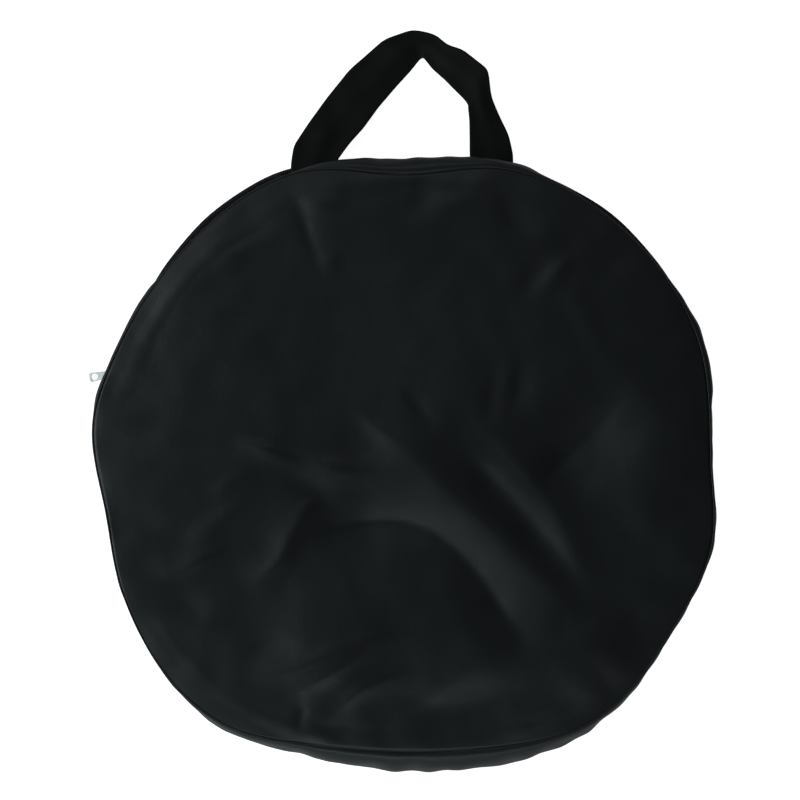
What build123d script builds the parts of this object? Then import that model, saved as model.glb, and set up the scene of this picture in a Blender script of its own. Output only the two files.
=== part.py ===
from build123d import *
import math
import os

# Collapsible five-in-one reflector, folded to a third of its width, in its round zip bag.
# The bag lies on its back panel. Millimetres, +Z up out of the front panel, +Y towards the
# carry handle, origin at the centre of the back panel's outer face.
os.makedirs("parts", exist_ok=True)

# Bag
bag_radius = 212.0            # cut edge of the back panel
bag_height = 38.0             # outer face of the front panel
cloth = 1.0                   # coated cloth with its lining and seam allowance
front_radius = 205.4          # cut edge of the front panel
fold_y = 70.0                 # straight line that the front panel folds back along
fold_gap = 0.3                # each side of the fold line
gusset_waist_radius = 211.5   # where the gusset stands furthest out
gusset_waist_height = 20.0
gusset_top_radius = 206.8
gusset_top_height = 36.7
gusset_hem_radius = 206.3     # lower edge, where the zip is sewn on
gusset_hem_height = 9.6
gusset_foot_radius = 212.6    # lower edge, where there is no zip
gusset_foot_height = 1.9
welt = 1.5                    # rolled seam binding

# Zip, a cone-shaped strip between the back panel's edge and the gusset's hem
chain_radius = 209.5
chain_height = 5.3
chain_slant = math.radians(41)
tape_thickness = 0.4
tape_inner = 2.15             # across the strip, from the chain's middle line
tape_outer = 5.6
coil_inner = 0.55
coil_outer = 2.1
coil_thickness = 1.4
zip_left_end = 167.0          # angles round the bag, in degrees from +X
zip_right_end = 14.0
flap_left_end = 160.0
flap_right_end = 20.0
split = 0.6                   # gap between the flap's zip half and the fixed ends
stop_length_angle = 0.5
tab_angle = 4.0               # cloth tabs over the ends of the zip

# Slider and pull
slider_angle = 163.0
slider_length = 8.0
slider_width = 7.0
slider_thickness = 3.3
plate_thickness = 0.6
flange_width = 0.6
flange_depth = 0.5
wedge_length = 3.0
wedge_width = 0.4
crown_across = -1.6           # the crown stands nearer the outer edge
crown_radius = 0.7
crown_head_radius = 1.7
crown_top = 9.4
crown_head_thickness = 0.5
pull_height = 7.8
pull_direction = 191.0
pull_slope = 20.0
pull_thickness = 0.8
pull_length = 14.2
pull_eye_radius = 2.2
pull_eye_hole_radius = 1.2
pull_near_width = 4.4
pull_far_width = 6.8
pull_window_length = 5.0
pull_window_width = 4.2
pull_window_place = 10.4

# Carry handle
strap_thickness = 1.4
strap_width = 30.0
foot_left_x = -63.5
foot_right_x = 59.5
hinge_y = 211.0
hinge_z = 10.9
strap_slope = 6.5             # the loop leans from the gusset down to the table
anchor_radius = 202.6         # inner face of the patch
anchor_thickness = 1.2
anchor_foot = 11.0
anchor_height = 18.0
stub_sewn_radius = 208.0      # where the webbing meets the gusset
stub_reach = 30.0
stub_clearance = 0.9          # before the hinge line

# Folded reflector
hoop_radius = 183.0           # of the three turns
hoop_turn_heights = [11.4, 20.4, 29.4]
hoop_wire_radius = 1.5
binding_radius = 4.2
binding_hollow_radius = 3.6
ferrule_radius = 2.4
ferrule_start = 70.0          # degrees
ferrule_angle = 5.0
bundle_radius = 176.0
bundle_layers = {
    "diffuser_panel": (8.0, 12.6),
    "silver_black_cover_panel": (13.2, 18.6),
    "white_gold_cover_panel": (19.2, 24.8),
}
bundle_edge_radius = 2.0
cover_zip_radius = 156.0
cover_zip_width = 6.0
cover_zip_height = 25.0       # its underside
cover_zip_start = 200.0       # degrees
cover_zip_arc = 150.0
cover_slider_angle = 215.0
hang_loop_radius = 193.5      # middle of the loop, just outside the rim
hang_loop_width = 12.0
hang_loop_length = 11.0
hang_loop_depth = 4.4
webbing_ply = 1.2


def zip_point(across, out):
    """A point of the zip's section: across towards the gusset, out along the strip's normal."""
    radius = chain_radius - across * math.cos(chain_slant) + out * math.sin(chain_slant)
    height = chain_height + across * math.sin(chain_slant) + out * math.cos(chain_slant)
    return radius, height


def zip_section(inner, outer, thickness):
    """Corners of a strip of the zip between two distances across, centred on the strip."""
    half = thickness / 2
    return [
        zip_point(inner, -half),
        zip_point(outer, -half),
        zip_point(outer, half),
        zip_point(inner, half),
    ]


def radial_plane(angle):
    """The upright plane through the bag's axis at an angle, drawn in radius and height."""
    turn = math.radians(angle)
    return Plane(
        origin=(0, 0, 0),
        x_dir=(math.cos(turn), math.sin(turn), 0),
        z_dir=(math.sin(turn), -math.cos(turn), 0),
    )


def walled(outline):
    """A wall of cloth whose outer face follows the outline."""
    return outline + [(radius - cloth, height) for radius, height in reversed(outline)]


def box_section(inner_radius, outer_radius, low, high):
    return [(inner_radius, low), (outer_radius, low), (outer_radius, high), (inner_radius, high)]


gusset_top = [(gusset_waist_radius, gusset_waist_height), (gusset_top_radius, gusset_top_height)]
gusset_over_zip = walled([(gusset_hem_radius, gusset_hem_height)] + gusset_top)
gusset_whole = walled([(gusset_foot_radius, gusset_foot_height)] + gusset_top)
back_welt = box_section(bag_radius + 0.3, bag_radius + 0.3 + welt, 0.1, 0.1 + welt)
front_welt = box_section(front_radius + 0.2, front_radius + 0.2 + welt, 37.0, 37.0 + welt)
tape_back = zip_section(-tape_inner, -tape_outer + 0.4, tape_thickness)
tape_front = zip_section(tape_inner, tape_outer, tape_thickness)
coil_back = zip_section(-coil_inner, -coil_outer, coil_thickness)
coil_front = zip_section(coil_inner, coil_outer, coil_thickness)
stop_section = zip_section(-coil_outer, coil_outer, coil_thickness + 0.4)
tab_section = zip_section(-tape_outer + 1.2, tape_outer, cloth)
fixed_left = flap_left_end + split
fixed_right = flap_right_end - split
whole_turn = 360.0

# ---- Pieces that run round the bag: name, sections with their start and end angles ----
round_pieces = {
    "gusset_lower": [
        (gusset_whole, zip_left_end + tab_angle, whole_turn + zip_right_end - tab_angle),
        (gusset_over_zip, fixed_left + 0.3, zip_left_end + tab_angle),
        (gusset_over_zip, zip_right_end - tab_angle, fixed_right - 0.3),
    ],
    "gusset_upper": [(gusset_over_zip, flap_right_end, flap_left_end)],
    "back_seam_binding": [(back_welt, 0, whole_turn)],
    "front_seam_binding_lower": [(front_welt, fixed_left + 0.3, whole_turn + fixed_right - 0.3)],
    "front_seam_binding_flap": [(front_welt, flap_right_end, flap_left_end)],
    "zip_tape_back": [(tape_back, zip_right_end, zip_left_end)],
    "zip_tape_flap": [(tape_front, flap_right_end, flap_left_end)],
    "zip_tape_end_left": [(tape_front, fixed_left, zip_left_end)],
    "zip_tape_end_right": [(tape_front, zip_right_end, fixed_right)],
    "zip_coil_back": [(coil_back, zip_right_end + 1, zip_left_end - 1)],
    "zip_coil_flap": [(coil_front, flap_right_end, flap_left_end)],
    "zip_coil_end_left": [(coil_front, fixed_left, zip_left_end - 1)],
    "zip_coil_end_right": [(coil_front, zip_right_end + 1, fixed_right)],
    "zip_top_stop": [(stop_section, zip_left_end - 0.9, zip_left_end - 0.9 + stop_length_angle)],
    "zip_bottom_stop": [(stop_section, zip_right_end + 0.4, zip_right_end + 0.4 + stop_length_angle)],
    "zip_end_tab_left": [(tab_section, zip_left_end + 0.1, zip_left_end + tab_angle)],
    "zip_end_tab_right": [(tab_section, zip_right_end - tab_angle, zip_right_end - 0.1)],
}
for piece_name, sections in round_pieces.items():
    with BuildPart() as round_piece:
        for section, start, end in sections:
            with BuildSketch(radial_plane(start)):
                with BuildLine():
                    Polyline(*section, close=True)
                make_face()
            revolve(axis=Axis.Z, revolution_arc=end - start)
    round_piece.part.label = piece_name
    export_step(round_piece.part, f"parts/{piece_name}.step")

# ---- Back panel ----
with BuildPart() as back_panel:
    with BuildSketch(Plane.XY):
        Circle(bag_radius)
    extrude(amount=cloth)
back_panel.part.label = "back_panel"
export_step(back_panel.part, "parts/back_panel.step")

# ---- Front panel, in two pieces that meet at the fold line ----
front_halves = {
    "front_panel_lower": (fold_y - fold_gap, Align.MAX),
    "front_panel_flap": (fold_y + fold_gap, Align.MIN),
}
for piece_name, (edge_y, side) in front_halves.items():
    with BuildPart() as front_panel:
        with BuildSketch(Plane.XY.offset(bag_height - cloth)):
            Circle(front_radius)
            with Locations((0, edge_y)):
                Rectangle(2 * bag_radius, 2 * bag_radius, align=(Align.CENTER, side), mode=Mode.INTERSECT)
        extrude(amount=cloth)
    front_panel.part.label = piece_name
    export_step(front_panel.part, f"parts/{piece_name}.step")

# ---- Slider, a two-plate body with side flanges that run round the coils and tapes ----
slider_turn = math.radians(slider_angle)
slider_radial = Vector(math.cos(slider_turn), math.sin(slider_turn), 0)
slider_plane = Plane(
    origin=slider_radial * chain_radius + Vector(0, 0, chain_height),
    x_dir=(-math.sin(slider_turn), math.cos(slider_turn), 0),
    z_dir=slider_radial * math.sin(chain_slant) + Vector(0, 0, math.cos(chain_slant)),
)
half_slider = slider_thickness / 2
with BuildPart() as slider_body:
    with BuildSketch(slider_plane.offset(-half_slider)):
        RectangleRounded(slider_length, slider_width, 1.6)
    extrude(amount=slider_thickness)
    with BuildSketch(slider_plane.offset(-half_slider + plate_thickness)):
        Rectangle(slider_length + 1, slider_width - 2 * flange_width)
    extrude(amount=slider_thickness - 2 * plate_thickness, mode=Mode.SUBTRACT)
    with BuildSketch(slider_plane.offset(-half_slider + plate_thickness + flange_depth)):
        Rectangle(slider_length + 1, slider_width + 1)
    extrude(amount=slider_thickness - 2 * (plate_thickness + flange_depth), mode=Mode.SUBTRACT)
    with BuildSketch(slider_plane.offset(-half_slider + plate_thickness)):
        with Locations(((slider_length - wedge_length) / 2, 0)):
            Rectangle(wedge_length, wedge_width)
    extrude(amount=slider_thickness - 2 * plate_thickness)
slider_body.part.label = "slider_body"
export_step(slider_body.part, "parts/slider_body.step")

# ---- Slider crown, the headed post that holds the pull ----
post_radius_from_axis, post_foot = zip_point(crown_across, half_slider)
crown_plane = Plane(origin=slider_radial * post_radius_from_axis + Vector(0, 0, post_foot - 0.3))
with BuildPart() as slider_crown:
    with BuildSketch(crown_plane):
        Circle(crown_radius)
    extrude(amount=crown_top - post_foot + 0.3)
    with BuildSketch(Plane(origin=slider_radial * post_radius_from_axis + Vector(0, 0, crown_top))):
        Circle(crown_head_radius)
    extrude(amount=-crown_head_thickness)
slider_crown.part.label = "slider_crown"
export_step(slider_crown.part, "parts/slider_crown.step")

# ---- Pull tab, an eye round the crown and a plate that widens to a window at its far end ----
pull_turn = math.radians(pull_direction)
pull_fall = math.radians(pull_slope)
pull_along = Vector(
    math.cos(pull_turn) * math.cos(pull_fall),
    math.sin(pull_turn) * math.cos(pull_fall),
    -math.sin(pull_fall),
)
pull_side = Vector(-math.sin(pull_turn), math.cos(pull_turn), 0)
pull_plane = Plane(
    origin=slider_radial * post_radius_from_axis + Vector(0, 0, pull_height),
    x_dir=pull_along,
    z_dir=pull_along.cross(pull_side),
)
with BuildPart() as pull_tab:
    with BuildSketch(pull_plane.offset(-pull_thickness / 2)):
        Circle(pull_eye_radius)
        with BuildLine():
            Polyline(
                (0, -pull_near_width / 2),
                (pull_length, -pull_far_width / 2),
                (pull_length, pull_far_width / 2),
                (0, pull_near_width / 2),
                close=True,
            )
        make_face()
        Circle(pull_eye_hole_radius, mode=Mode.SUBTRACT)
        with Locations((pull_window_place, 0)):
            Ellipse(pull_window_length / 2, pull_window_width / 2, mode=Mode.SUBTRACT)
    extrude(amount=pull_thickness)
    far_corners = pull_tab.edges().filter_by(GeomType.LINE).filter_by(Axis(pull_plane.origin, pull_plane.z_dir))
    fillet(far_corners.sort_by(Axis(pull_plane.origin, pull_along))[-2:], radius=1.6)
pull_tab.part.label = "pull_tab"
export_step(pull_tab.part, "parts/pull_tab.step")

# ---- Handle stubs, the ends of the webbing sewn on the gusset above the zip ----
for piece_name, foot_x in {"handle_stub_left": foot_left_x, "handle_stub_right": foot_right_x}.items():
    with BuildPart() as handle_stub:
        with BuildSketch(Plane.XY.offset(hinge_z - strap_thickness / 2)):
            with Locations((foot_x, hinge_y - stub_clearance)):
                Rectangle(strap_width, stub_reach, align=(Align.CENTER, Align.MAX))
            Circle(stub_sewn_radius, mode=Mode.SUBTRACT)
        extrude(amount=strap_thickness)
    handle_stub.part.label = piece_name
    export_step(handle_stub.part, f"parts/{piece_name}.step")

# ---- Handle anchors, the reinforcing patches inside the gusset behind each stub ----
anchor_half_angle = math.degrees(strap_width / 2 / gusset_waist_radius)
anchor_section = box_section(
    anchor_radius, anchor_radius + anchor_thickness, anchor_foot, anchor_foot + anchor_height
)
for piece_name, foot_x in {"handle_anchor_left": foot_left_x, "handle_anchor_right": foot_right_x}.items():
    anchor_angle = math.degrees(math.acos(foot_x / gusset_waist_radius))
    with BuildPart() as handle_anchor:
        with BuildSketch(radial_plane(anchor_angle - anchor_half_angle)):
            with BuildLine():
                Polyline(*anchor_section, close=True)
            make_face()
        revolve(axis=Axis.Z, revolution_arc=2 * anchor_half_angle)
    handle_anchor.part.label = piece_name
    export_step(handle_anchor.part, f"parts/{piece_name}.step")

# ---- Handle strap, flat webbing kinked over at its top and leaning down to the table ----
strap_outer = [
    (-78.5, 0.0),
    (-76.0, 6.0),
    (-38.0, 60.0),
    (-14.0, 81.0),
    (5.0, 87.0),
    (21.0, 85.0),
    (55.0, 58.0),
    (60.0, 36.0),
    (71.0, 14.0),
    (74.5, 0.0),
]
strap_inner = [(44.5, 0.0), (43.0, 36.0), (12.0, 69.0), (-48.5, 0.0)]
strap_plane = Plane(
    origin=(0, hinge_y, hinge_z),
    x_dir=(1, 0, 0),
    z_dir=(0, math.sin(math.radians(strap_slope)), math.cos(math.radians(strap_slope))),
)
with BuildPart() as handle_strap:
    with BuildSketch(strap_plane.offset(-strap_thickness / 2)):
        with BuildLine():
            Polyline(*strap_outer, *strap_inner, close=True)
        make_face()
    extrude(amount=strap_thickness)
handle_strap.part.label = "handle_strap"
export_step(handle_strap.part, "parts/handle_strap.step")


# ---- Spring hoop, its crimped ferrule and its cloth binding, laid as three stacked turns ----
hoop_pieces = {
    "spring_hoop": (hoop_turn_heights, hoop_wire_radius, 0.0, whole_turn),
    "hoop_ferrule": (hoop_turn_heights[1:2], ferrule_radius, hoop_wire_radius + 0.05, ferrule_angle),
    "rim_binding": (hoop_turn_heights, binding_radius, binding_hollow_radius, whole_turn),
}
for piece_name, (heights, outer, inner, arc) in hoop_pieces.items():
    with BuildPart() as hoop_piece:
        with BuildSketch(radial_plane(ferrule_start)):
            with Locations([(hoop_radius, height) for height in heights]):
                Circle(outer)
                if inner:
                    Circle(inner, mode=Mode.SUBTRACT)
        revolve(axis=Axis.Z, revolution_arc=arc)
    hoop_piece.part.label = piece_name
    export_step(hoop_piece.part, f"parts/{piece_name}.step")

# ---- The folded cloths inside the hoop's turns, each a plain pad ----
for piece_name, (low, high) in bundle_layers.items():
    with BuildPart() as cloth_layer:
        with BuildSketch(Plane.XY.offset(low)):
            Circle(bundle_radius)
        extrude(amount=high - low)
        fillet(cloth_layer.edges(), radius=bundle_edge_radius)
    cloth_layer.part.label = piece_name
    export_step(cloth_layer.part, f"parts/{piece_name}.step")

# ---- Cover zip, along the edge of the folded cover, and its slider ----
with BuildPart() as cover_zip:
    with BuildSketch(radial_plane(cover_zip_start)):
        with Locations((cover_zip_radius, cover_zip_height + cloth / 2)):
            Rectangle(cover_zip_width, cloth)
    revolve(axis=Axis.Z, revolution_arc=cover_zip_arc)
cover_zip.part.label = "cover_zip"
export_step(cover_zip.part, "parts/cover_zip.step")

cover_slider_turn = math.radians(cover_slider_angle)
cover_slider_place = (
    cover_zip_radius * math.cos(cover_slider_turn),
    cover_zip_radius * math.sin(cover_slider_turn),
)
with BuildPart() as cover_zip_slider:
    with BuildSketch(Plane.XY.offset(cover_zip_height + cloth + fold_gap)):
        with Locations(cover_slider_place):
            RectangleRounded(slider_width - 1, slider_length, 1.5, rotation=cover_slider_angle - 180)
    extrude(amount=2 * plate_thickness)
cover_zip_slider.part.label = "cover_zip_slider"
export_step(cover_zip_slider.part, "parts/cover_zip_slider.step")

# ---- Hang loop of the reflector, a short folded webbing on its rim ----
with BuildPart() as hang_loop:
    with BuildSketch(Plane.YZ.offset(-hang_loop_width / 2)):
        with Locations((hang_loop_radius, hoop_turn_heights[1])):
            SlotOverall(hang_loop_length, hang_loop_depth)
            SlotOverall(hang_loop_length - 2 * webbing_ply, hang_loop_depth - 2 * webbing_ply, mode=Mode.SUBTRACT)
    extrude(amount=hang_loop_width)
hang_loop.part.label = "hang_loop"
export_step(hang_loop.part, "parts/hang_loop.step")
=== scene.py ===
import math

import bmesh
import bpy
import numpy as np
from mathutils import Matrix, Vector, noise


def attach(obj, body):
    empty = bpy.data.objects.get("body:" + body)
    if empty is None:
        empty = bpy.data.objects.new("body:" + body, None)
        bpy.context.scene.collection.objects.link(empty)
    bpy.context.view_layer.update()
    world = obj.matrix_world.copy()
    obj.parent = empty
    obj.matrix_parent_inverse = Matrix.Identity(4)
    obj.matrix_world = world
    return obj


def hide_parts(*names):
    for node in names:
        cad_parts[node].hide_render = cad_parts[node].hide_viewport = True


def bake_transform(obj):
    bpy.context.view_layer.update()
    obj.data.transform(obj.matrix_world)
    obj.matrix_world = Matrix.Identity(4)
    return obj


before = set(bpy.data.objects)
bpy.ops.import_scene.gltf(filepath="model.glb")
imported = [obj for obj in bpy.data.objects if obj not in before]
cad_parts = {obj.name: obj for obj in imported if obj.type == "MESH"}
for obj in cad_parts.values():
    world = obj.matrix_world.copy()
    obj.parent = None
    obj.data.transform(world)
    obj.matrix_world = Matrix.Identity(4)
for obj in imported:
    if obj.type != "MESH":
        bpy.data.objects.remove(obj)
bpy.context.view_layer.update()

scene = bpy.context.scene
mm = 0.001
topCentre = Vector((-0.0034, 0.0442, 0.020))     # middle of the view, between the bag and its handle
fullTurn = 360                                   # degrees


# Small helpers

# sRGB hex to linear, with alpha 1.
def hexColour(code):
    parts = [int(code[i:i + 2], 16) / 255 for i in (1, 3, 5)]
    return (*[c / 12.92 if c <= 0.04045 else ((c + 0.055) / 1.055) ** 2.4 for c in parts], 1.0)


def ease(value):
    value = np.clip(value, 0.0, 1.0)
    return value * value * (3 - 2 * value)


# A smooth closed curve through {degrees: value}, as a function of an angle in degrees.
def ringCurve(knots):
    angles = np.array(sorted(knots), float)
    values = np.array([knots[a] for a in sorted(knots)], float)
    angles = np.concatenate([angles[-2:] - fullTurn, angles, angles[:2] + fullTurn])
    values = np.concatenate([values[-2:], values, values[:2]])
    slopes = np.gradient(values, angles)
    samples = np.linspace(0, fullTurn, 1441)
    at = np.clip(np.searchsorted(angles, samples) - 1, 0, len(angles) - 2)
    width = angles[at + 1] - angles[at]
    t = (samples - angles[at]) / width
    curve = (
        (2 * t**3 - 3 * t**2 + 1) * values[at]
        + (t**3 - 2 * t**2 + t) * width * slopes[at]
        + (3 * t**2 - 2 * t**3) * values[at + 1]
        + (t**3 - t**2) * width * slopes[at + 1]
    )
    return lambda angle: np.interp(np.mod(angle, fullTurn), samples, curve)


def readPoints(bm):
    return np.array([v.co for v in bm.verts])


def writePoints(bm, points):
    for vert, point in zip(bm.verts, points):
        vert.co = point


# A bmesh with a copy of the shape at each matrix.
def repeated(shape, places):
    single = bpy.data.meshes.new("single")
    shape.to_mesh(single)
    shape.free()
    bm = bmesh.new()
    for place in places:
        copied = single.copy()
        copied.transform(place)
        bm.from_mesh(copied)
        bpy.data.meshes.remove(copied)
    bpy.data.meshes.remove(single)
    return bm


# Turns a bmesh into a finished object that rides on a body.
def newPiece(name, bm, material, body, replaced=(), thickness=0.0, subdivide=0):
    bmesh.ops.recalc_face_normals(bm, faces=bm.faces)
    mesh = bpy.data.meshes.new(name)
    bm.to_mesh(mesh)
    bm.free()
    mesh.materials.append(material)
    for face in mesh.polygons:
        face.use_smooth = True
    piece = bpy.data.objects.new(name, mesh)
    scene.collection.objects.link(piece)
    if thickness:
        wall = piece.modifiers.new("cloth thickness", "SOLIDIFY")
        wall.thickness = thickness
        wall.offset = -1
    if subdivide:
        rounder = piece.modifiers.new("rounding", "SUBSURF")
        rounder.levels = rounder.render_levels = subdivide
    if body:
        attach(piece, body)
    if replaced:
        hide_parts(*replaced)
    return piece


# Materials

def newMaterial(name):
    material = bpy.data.materials.new(name)
    material.use_nodes = True
    return material, material.node_tree, material.node_tree.nodes["Principled BSDF"]


# Adds a node, sets its properties and inputs, and links {input: output socket} to it.
def addNode(tree, kind, settings=None, links=None):
    node = tree.nodes.new(kind)
    for key, value in (settings or {}).items():
        if key in node.inputs:
            node.inputs[key].default_value = value
        else:
            setattr(node, key, value)
    for key, socket in (links or {}).items():
        tree.links.new(socket, node.inputs[key])
    return node


# Depths in metres. The Wave texture's period is bandPeriod at scale 1.
weaveShape = {"bandPeriod": 0.31416, "distortion": 0.4, "threadDepth": 0.00025, "patchScale": 14.0,
              "patchDetail": 4.0, "crinkleScale": 120.0, "crinkleDetail": 5.0, "crinkleRoughness": 0.6,
              "crinkleDepth": 0.0012, "sheenRoughness": 0.4}


# Woven cloth: a plain weave of fine threads, faint colour change and small crinkles.
def wovenFinish(name, darkHex, lightHex, threadSpacing, roughness, sheen, specular, weaveStrength, crinkle):
    material, tree, shader = newMaterial(name)
    place = addNode(tree, "ShaderNodeTexCoord").outputs["Object"]
    waveScale = weaveShape["bandPeriod"] / threadSpacing
    threads = []
    for direction in ("X", "Y"):
        threads.append(addNode(tree, "ShaderNodeTexWave", {
            "wave_type": "BANDS", "bands_direction": direction, "Scale": waveScale,
            "Distortion": weaveShape["distortion"],
        }, {"Vector": place}))
    weave = addNode(tree, "ShaderNodeMath", {"operation": "MAXIMUM"})
    tree.links.new(threads[0].outputs["Fac"], weave.inputs[0])
    tree.links.new(threads[1].outputs["Fac"], weave.inputs[1])
    patches = addNode(tree, "ShaderNodeTexNoise", {
        "Scale": weaveShape["patchScale"], "Detail": weaveShape["patchDetail"],
    }, {"Vector": place})
    tint = addNode(tree, "ShaderNodeMix", {"data_type": "RGBA"}, {"Factor": patches.outputs["Fac"]})
    tint.inputs[6].default_value = hexColour(darkHex)
    tint.inputs[7].default_value = hexColour(lightHex)
    tree.links.new(tint.outputs[2], shader.inputs["Base Color"])
    rough = addNode(tree, "ShaderNodeMapRange", {
        "From Min": 0.3, "From Max": 0.7, "To Min": roughness - 0.04, "To Max": roughness + 0.05,
    }, {"Value": patches.outputs["Fac"]})
    tree.links.new(rough.outputs["Result"], shader.inputs["Roughness"])
    crinkles = addNode(tree, "ShaderNodeTexNoise", {
        "Scale": weaveShape["crinkleScale"], "Detail": weaveShape["crinkleDetail"],
        "Roughness": weaveShape["crinkleRoughness"],
    }, {"Vector": place})
    soft = addNode(tree, "ShaderNodeBump", {"Strength": crinkle, "Distance": weaveShape["crinkleDepth"]}, {
        "Height": crinkles.outputs["Fac"],
    })
    fine = addNode(tree, "ShaderNodeBump", {
        "Strength": weaveStrength, "Distance": weaveShape["threadDepth"],
    }, {"Height": weave.outputs[0], "Normal": soft.outputs["Normal"]})
    tree.links.new(fine.outputs["Normal"], shader.inputs["Normal"])
    shader.inputs["Specular IOR Level"].default_value = specular
    shader.inputs["Sheen Weight"].default_value = sheen
    shader.inputs["Sheen Roughness"].default_value = weaveShape["sheenRoughness"]
    return material


# Shares of the base colour and roughness between which the grain varies, and its depth in metres.
grainShape = {"darker": 0.85, "lighter": 1.12, "glossier": 0.8, "duller": 1.2, "detail": 6.0, "bump": 0.12,
              "depth": 0.0002}


# Smooth metal or plastic with a faint grain in its colour, gloss and surface.
def plainFinish(name, hexCode, metallic, roughness, grain, specular=0.5):
    material, tree, shader = newMaterial(name)
    place = addNode(tree, "ShaderNodeTexCoord").outputs["Object"]
    speckle = addNode(tree, "ShaderNodeTexNoise", {
        "Scale": 0.5 / grain, "Detail": grainShape["detail"],
    }, {"Vector": place})
    base = hexColour(hexCode)
    tint = addNode(tree, "ShaderNodeMix", {"data_type": "RGBA"}, {"Factor": speckle.outputs["Fac"]})
    tint.inputs[6].default_value = (*[c * grainShape["darker"] for c in base[:3]], 1)
    tint.inputs[7].default_value = (*[min(1, c * grainShape["lighter"]) for c in base[:3]], 1)
    tree.links.new(tint.outputs[2], shader.inputs["Base Color"])
    rough = addNode(tree, "ShaderNodeMapRange", {
        "To Min": roughness * grainShape["glossier"], "To Max": roughness * grainShape["duller"],
    }, {"Value": speckle.outputs["Fac"]})
    tree.links.new(rough.outputs["Result"], shader.inputs["Roughness"])
    bump = addNode(tree, "ShaderNodeBump", {
        "Strength": grainShape["bump"], "Distance": grainShape["depth"],
    }, {"Height": speckle.outputs["Fac"]})
    tree.links.new(bump.outputs["Normal"], shader.inputs["Normal"])
    shader.inputs["Metallic"].default_value = metallic
    if not metallic:
        shader.inputs["Specular IOR Level"].default_value = specular
    return material


# Coated nylon taffeta: near-black cloth with a thin film on it, so broad soft highlights.
# Its threads are 0.3 mm apart, drawn at 0.8 mm so that they show.
taffeta = wovenFinish("coated nylon taffeta", "#070b0c", "#0b1011", 0.8 * mm, 0.46, 0.0, 0.5, 0.07, 0.16)
# Polypropylene webbing: matt, a shade greener, with coarse ribs of 1.5 mm.
webbing = wovenFinish("polypropylene webbing", "#070a07", "#0b0e09", 1.5 * mm, 0.72, 0.0, 0.24, 0.22, 0.25)
# Polyester zip tape and seam binding: matt and fine.
tapeCloth = wovenFinish("polyester zip tape", "#070809", "#0b0c0d", 0.9 * mm, 0.7, 0.02, 0.3, 0.6, 0.1)
bindingCloth = wovenFinish("polyester binding tape", "#08090a", "#0c0d0f", 0.9 * mm, 0.6, 0.02, 0.4, 0.5, 0.1)
# Nylon coil, moulded smooth, with a plastic gloss.
coilNylon = plainFinish("extruded nylon coil", "#0c0c0d", 0.0, 0.35, 0.4 * mm)
# Nickel-plated zinc: bright, slightly warm grey, worn to a satin.
nickel = plainFinish("nickel-plated zinc", "#989a99", 1.0, 0.4, 0.3 * mm)
blackZinc = plainFinish("black enamelled zinc", "#131416", 0.0, 0.3, 0.4 * mm)
stopMetal = plainFinish("crimped aluminium", "#b4b5b8", 1.0, 0.35, 0.3 * mm)
springSteel = plainFinish("oil-tempered spring steel", "#8b8d90", 1.0, 0.38, 0.5 * mm)
sewingThread = plainFinish("bonded nylon thread", "#101113", 0.0, 0.5, 0.3 * mm)
diffuserCloth = wovenFinish("white diffuser nylon", "#d8d8d4", "#e8e8e4", 0.6 * mm, 0.6, 0.1, 0.4, 0.3, 0.2)
silverCloth = wovenFinish("silver laminated cloth", "#9a9ca0", "#b4b6ba", 0.8 * mm, 0.35, 0.0, 0.8, 0.4, 0.4)
goldCloth = wovenFinish("gold laminated cloth", "#c09a3c", "#dcb85c", 0.8 * mm, 0.35, 0.0, 0.8, 0.4, 0.4)


# Camera, floor and light

camera = bpy.data.objects.new("camera", bpy.data.cameras.new("camera"))
scene.collection.objects.link(camera)
view = {"distance": 3.0, "width": 0.544}          # metres to the bag's top, and metres seen across
camera.location = topCentre + Vector((0, 0, view["distance"]))
camera.data.sensor_width = 36
camera.data.lens = camera.data.sensor_width * view["distance"] / view["width"]
scene.camera = camera
scene.view_settings.view_transform = "Standard"

# Floor and backdrop look pale, and light the bag only dimly: strength seen, and strength given.
paleness = {"floor": {"seen": 0.95, "given": 0.12}, "backdrop": {"seen": 0.9, "given": 0.08}, "floorHalf": 12}

floorFinish, floorTree, floorShader = newMaterial("white table")
floorShader.inputs["Base Color"].default_value = (0.9, 0.9, 0.9, 1)
floorShader.inputs["Roughness"].default_value = 0.9
floorShader.inputs["Specular IOR Level"].default_value = 0.0
floorShader.inputs["Emission Color"].default_value = (1, 1, 1, 1)
glow = addNode(floorTree, "ShaderNodeMapRange", {
    "To Min": paleness["floor"]["given"], "To Max": paleness["floor"]["seen"],
}, {"Value": addNode(floorTree, "ShaderNodeLightPath").outputs["Is Camera Ray"]})
floorTree.links.new(glow.outputs["Result"], floorShader.inputs["Emission Strength"])
floorBm = bmesh.new()
bmesh.ops.create_grid(floorBm, x_segments=1, y_segments=1, size=paleness["floorHalf"])
floor = newPiece("floor", floorBm, floorFinish, None)

world = bpy.data.worlds.new("studio")
scene.world = world
world.use_nodes = True
background = world.node_tree.nodes["Background"]
background.inputs["Color"].default_value = (0.86, 0.93, 1.0, 1)
dim = addNode(world.node_tree, "ShaderNodeMapRange", {
    "To Min": paleness["backdrop"]["given"], "To Max": paleness["backdrop"]["seen"],
}, {"Value": addNode(world.node_tree, "ShaderNodeLightPath").outputs["Is Camera Ray"]})
world.node_tree.links.new(dim.outputs["Result"], background.inputs["Strength"])


# place and size in metres, power in watts. It faces the bag.
def softbox(name, place, size, power, colour):
    light = bpy.data.lights.new(name, "AREA")
    light.shape = "RECTANGLE"
    light.size, light.size_y = size
    light.energy = power
    light.color = colour
    lamp = bpy.data.objects.new(name, light)
    lamp.location = place
    aim = Vector((0, 0, 0.02)) - lamp.location
    lamp.rotation_euler = aim.to_track_quat("-Z", "Y").to_euler()
    scene.collection.objects.link(lamp)


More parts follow.
